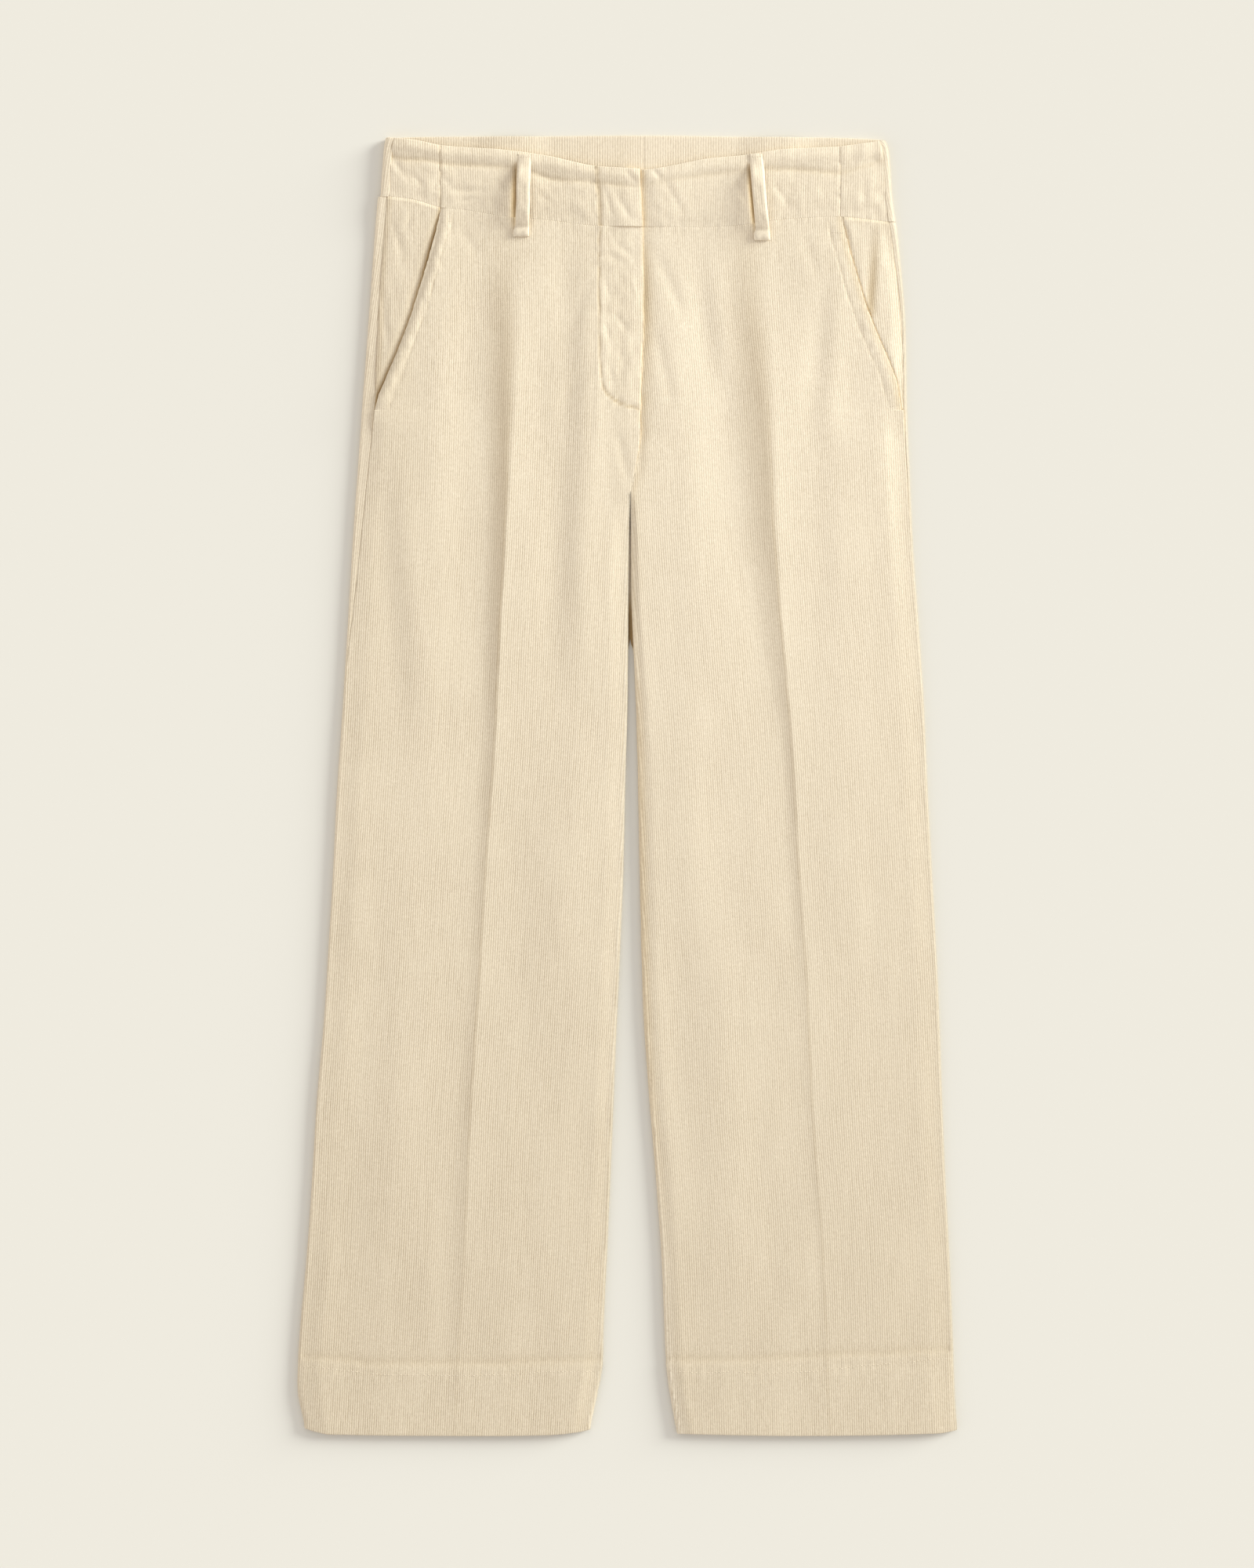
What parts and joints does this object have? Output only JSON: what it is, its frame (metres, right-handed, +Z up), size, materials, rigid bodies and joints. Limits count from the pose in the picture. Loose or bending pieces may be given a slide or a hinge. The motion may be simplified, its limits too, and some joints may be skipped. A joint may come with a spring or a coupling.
{
  "type": "corduroy trousers laid flat",
  "caption": "Wide-leg corduroy trousers with pressed creases, slanted pockets, lapped fly and belt loops, laid flat with the front up.",
  "frame": {"origin": "on the surface that the trousers lie on, under the middle of their outline", "axes": "+X across the garment to the right as seen from above its front, +Y up the garment towards the waistband, +Z up out of the front"},
  "size_m": [0.5224, 1.0292, 0.0143],
  "materials": {
    "corduroy": "cream cotton corduroy, fine upright wales about 1.8 mm apart, soft matt pile",
    "waistband": "the same cream corduroy, two layers pressed together, puckered at its seams",
    "belt_loop": "narrow folded strip of the same cream corduroy with worn, paler edges"
  },
  "bodies": {
    "root": {"front_left": "corduroy", "front_right": "corduroy", "back_left": "corduroy", "back_right": "corduroy", "hip_panel_left": "corduroy", "hip_panel_right": "corduroy", "waistband_front_left": "waistband", "waistband_front_right": "waistband", "waistband_side_left": "waistband", "waistband_side_right": "waistband", "waistband_back_left": "waistband", "waistband_back_right": "waistband", "belt_loop_left": "belt_loop", "belt_loop_right": "belt_loop", "belt_loop_back_left": "belt_loop", "belt_loop_back_right": "belt_loop"}
  },
  "joints": []
}
